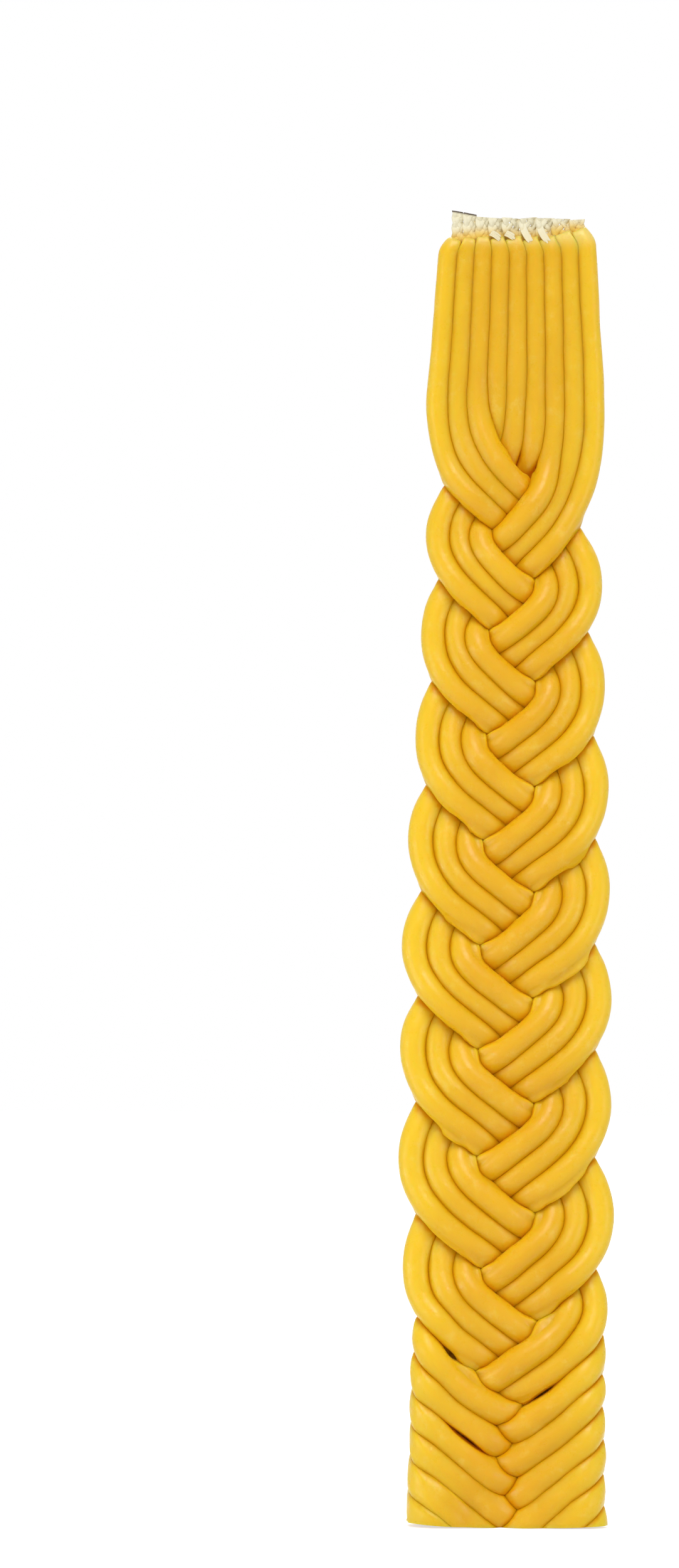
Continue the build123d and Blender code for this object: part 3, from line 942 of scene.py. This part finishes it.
def wax_material():
    """Satin, slightly translucent honey-yellow wax."""
    finish = {
        "Subsurface Weight": 0.8,
        "Subsurface Radius": (1.0, 0.5, 0.1),
        "Subsurface Scale": 0.003,
        "IOR": 1.44,
    }
    material, tree, shader = new_material("beeswax", finish)
    link = tree.links.new
    place = node(tree, "ShaderNodeTexCoord").outputs["Object"]
    parts = node(tree, "ShaderNodeSeparateXYZ")
    link(place, parts.inputs[0])

    # Cloudy honey tints, with painted light that makes the candle's outer edges lighter
    tint = node(tree, "ShaderNodeValToRGB")
    darker, lighter = tint.color_ramp.elements
    darker.position = 0.3
    darker.color = DEEP_HONEY
    lighter.position = 0.72
    lighter.color = HONEY
    link(noise(tree, place, Scale=85.0, Detail=3.0, Roughness=0.55), tint.inputs["Fac"])
    outward = node(tree, "ShaderNodeMath", operation="ABSOLUTE")
    link(parts.outputs["X"], outward.inputs[0])
    # painted light: the wax is lighter towards the plait's outer edges, as if lit through from the sides
    edge = soft_step(tree, outward.outputs[0], (0.006, 0.021), 1.0)
    colour = mixed(tree, tint.outputs["Color"], LIT_EDGE_HONEY, edge)

    # A pale bloom, in faint flecks where the wax was handled
    fleck = noise(tree, place, Scale=330.0, Detail=5.0, Roughness=0.7)
    colour = mixed(tree, colour, BLOOM, soft_step(tree, fleck, (0.52, 0.78), 0.34))

    # Thin and pale where it ends on the wick
    rim = ((WAX_HEIGHT - 1.5) * MM, (WAX_HEIGHT + 2.0) * MM)
    colour = mixed(tree, colour, THIN_WAX, soft_step(tree, parts.outputs["Z"], rim, 0.8))

    # Painted shade: deeper orange and less shiny in the seams between two tapers, where light is caught
    seam_shade = node(tree, "ShaderNodeAttribute", attribute_name="seam_shade").outputs["Fac"]
    colour = mixed(tree, colour, SEAM_SHADE_ORANGE, scaled(tree, seam_shade, 0.9))
    link(colour, shader.inputs["Base Color"])
    link(spread(tree, seam_shade, (0.0, 1.0), (0.36, 0.08)), shader.inputs["Specular IOR Level"])

    # A satin skin with a fine grain
    grain = noise(tree, place, Scale=700.0, Detail=4.0, Roughness=0.6)
    link(spread(tree, grain, (0.3, 0.7), (0.2, 0.5)), shader.inputs["Roughness"])
    add_bump(tree, shader, grain, Strength=0.3, Distance=0.0003)
    return material


def wick_material():
    """Cream cotton, yellow where it is soaked with wax, with painted shade in the same yellow on the
    sides turned back, and dark where it is singed.
    """
    finish = {"Roughness": 0.85, "Sheen Weight": 0.2}
    material, tree, shader = new_material("cotton", finish)
    waxed_and_shade = node(tree, "ShaderNodeAttribute", attribute_name="waxed_and_shade").outputs["Fac"]
    singed = node(tree, "ShaderNodeAttribute", attribute_name="singed").outputs["Fac"]
    colour = mixed(tree, mixed(tree, COTTON, SOAKED_AND_SHADED_COTTON, waxed_and_shade), CHAR, singed)
    tree.links.new(colour, shader.inputs["Base Color"])
    place = node(tree, "ShaderNodeTexCoord").outputs["Object"]
    fibre = noise(tree, place, Scale=2600.0, Detail=2.0)
    add_bump(tree, shader, fibre, Strength=0.5, Distance=0.0001)
    return material


def stage_material():
    """A white floor that still takes the candle's shadow."""
    finish = {"Base Color": FLOOR_WHITE, "Roughness": 0.9, "Specular IOR Level": 0.0}
    finish["Emission Color"] = WHITE
    material, tree, shader = new_material("floor_white", finish)
    tree.links.new(scaled(tree, seen(tree), FLOOR_GLOW), shader.inputs["Emission Strength"])
    return material


def foot_cut(path):
    """The cut under a taper: a point on it, and the way that is cut off."""
    x = path[path[:, 2] > 0][-1, 0]
    rise = FOOT_RISE[0 if x < 0 else 1] / FOOT_HALF_WIDTH ** 2
    return np.array([x, 0, FOOT_LIFT + rise * x ** 2]), (2 * rise * x, 0, -1)


# Tapers and wicks
random = np.random.RandomState(SEED)
settled = settle(np.array([route(*strand) for strand in STRANDS]))
paths, radii = uneven_tapers(settled, random)
skins, seam_shades = squeezed(paths, radii)
wax, cotton = wax_material(), wick_material()
for number, (path, skin, seam_shade) in enumerate(zip(paths, skins, seam_shades)):
    taper = Shape("seam_shade")
    taper.add_tube(skin, seam_shade)
    foot, under = foot_cut(path)
    piece = taper.piece(f"taper_{number + 1}", [(foot, under)])
    piece.data.materials.append(wax)
    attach(piece, "root")
    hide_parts(f"wax_taper_{number + 1}")

    wick = Shape("waxed_and_shade", "singed")
    top = settled[number][0]
    inside = path[path[:, 2] < WAX_HEIGHT - CORE_TOP][::2]
    core = ellipse_rings(inside, CORE_HALF_WIDTH, CORE_HALF_DEPTH, CORE_SIDES)
    wick.add_tube(core, np.full((*core.shape[:2], 2), (CORE_SOAKED, 0.0)))
    tip = stub_line(top, number, [STUBS[number][0]])[0]
    tilt = (-CUT_SLOPES[number], random.uniform(-CUT_TILT, CUT_TILT), 1)
    add_stub(wick, top, number, tip, tilt, random)
    piece = wick.piece(f"wick_{number + 1}_yarn", [(foot - (0, 0, CORE_PROUD), under), (tip, tilt)])
    piece.data.materials.append(cotton)
    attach(piece, "root")
    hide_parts(f"wick_{number + 1}")

# Stage
bpy.ops.mesh.primitive_plane_add(size=FLOOR_SIZE, location=(0, FLOOR_BACK, 0))
floor = bpy.context.object
floor.name = "floor"
floor.data.materials.append(stage_material())

# World: white as the camera sees it, and soft light on the candle
scene = bpy.context.scene
scene.view_settings.view_transform = "Standard"
world = bpy.data.worlds.new("studio")
scene.world = world
world.use_nodes = True
tree = world.node_tree
background = tree.nodes["Background"]
background.inputs["Color"].default_value = WHITE
level = spread(tree, seen(tree), (0.0, 1.0), (WORLD_LIGHT, 1.0))
tree.links.new(level, background.inputs["Strength"])


def area_light(name, place, target, size, power):
    """A square lamp, in metres and watts."""
    data = bpy.data.lights.new(name, "AREA")
    data.size = size
    data.energy = power
    lamp = bpy.data.objects.new(name, data)
    lamp.location = place
    lamp.rotation_euler = (Vector(target) - Vector(place)).to_track_quat("-Z", "Y").to_euler()
    scene.collection.objects.link(lamp)


area_light("top_soft", place=(0.0, -1.5, 1.8), target=CANDLE_MIDDLE, size=1.2, power=31.5)
area_light("left_soft", place=(-0.9, -0.6, 0.15), target=CANDLE_MIDDLE, size=0.5, power=2.3)
area_light("back_soft", place=(0.0, 1.5, 1.7), target=CANDLE_MIDDLE, size=1.2, power=14.0)
area_light("left_glint", place=(-0.45, -0.12, 0.04), target=CANDLE_LOW, size=0.06, power=0.2)
area_light("right_soft", place=(0.9, -0.6, 0.15), target=CANDLE_MIDDLE, size=0.5, power=2.3)

# Camera
right = Vector((math.cos(LEAN), 0, math.sin(LEAN)))
up = Vector((-math.sin(LEAN), 0, math.cos(LEAN)))
offset_x = (FOOT_PIXEL[0] - IMAGE_WIDTH / 2) / PIXELS_PER_MM
offset_z = (FOOT_PIXEL[1] - IMAGE_HEIGHT / 2) / PIXELS_PER_MM
distance = IMAGE_HEIGHT / PIXELS_PER_MM * LENS / SENSOR
centre = (up * offset_z - right * offset_x) * MM
data = bpy.data.cameras.new("camera")
data.lens = LENS
data.sensor_width = SENSOR
camera = bpy.data.objects.new("camera", data)
camera.matrix_world = Matrix.Translation(centre + Vector((0, -distance * MM, 0))) @ Matrix(
    (right, up, (0, -1, 0))
).transposed().to_4x4()
scene.collection.objects.link(camera)
scene.camera = camera
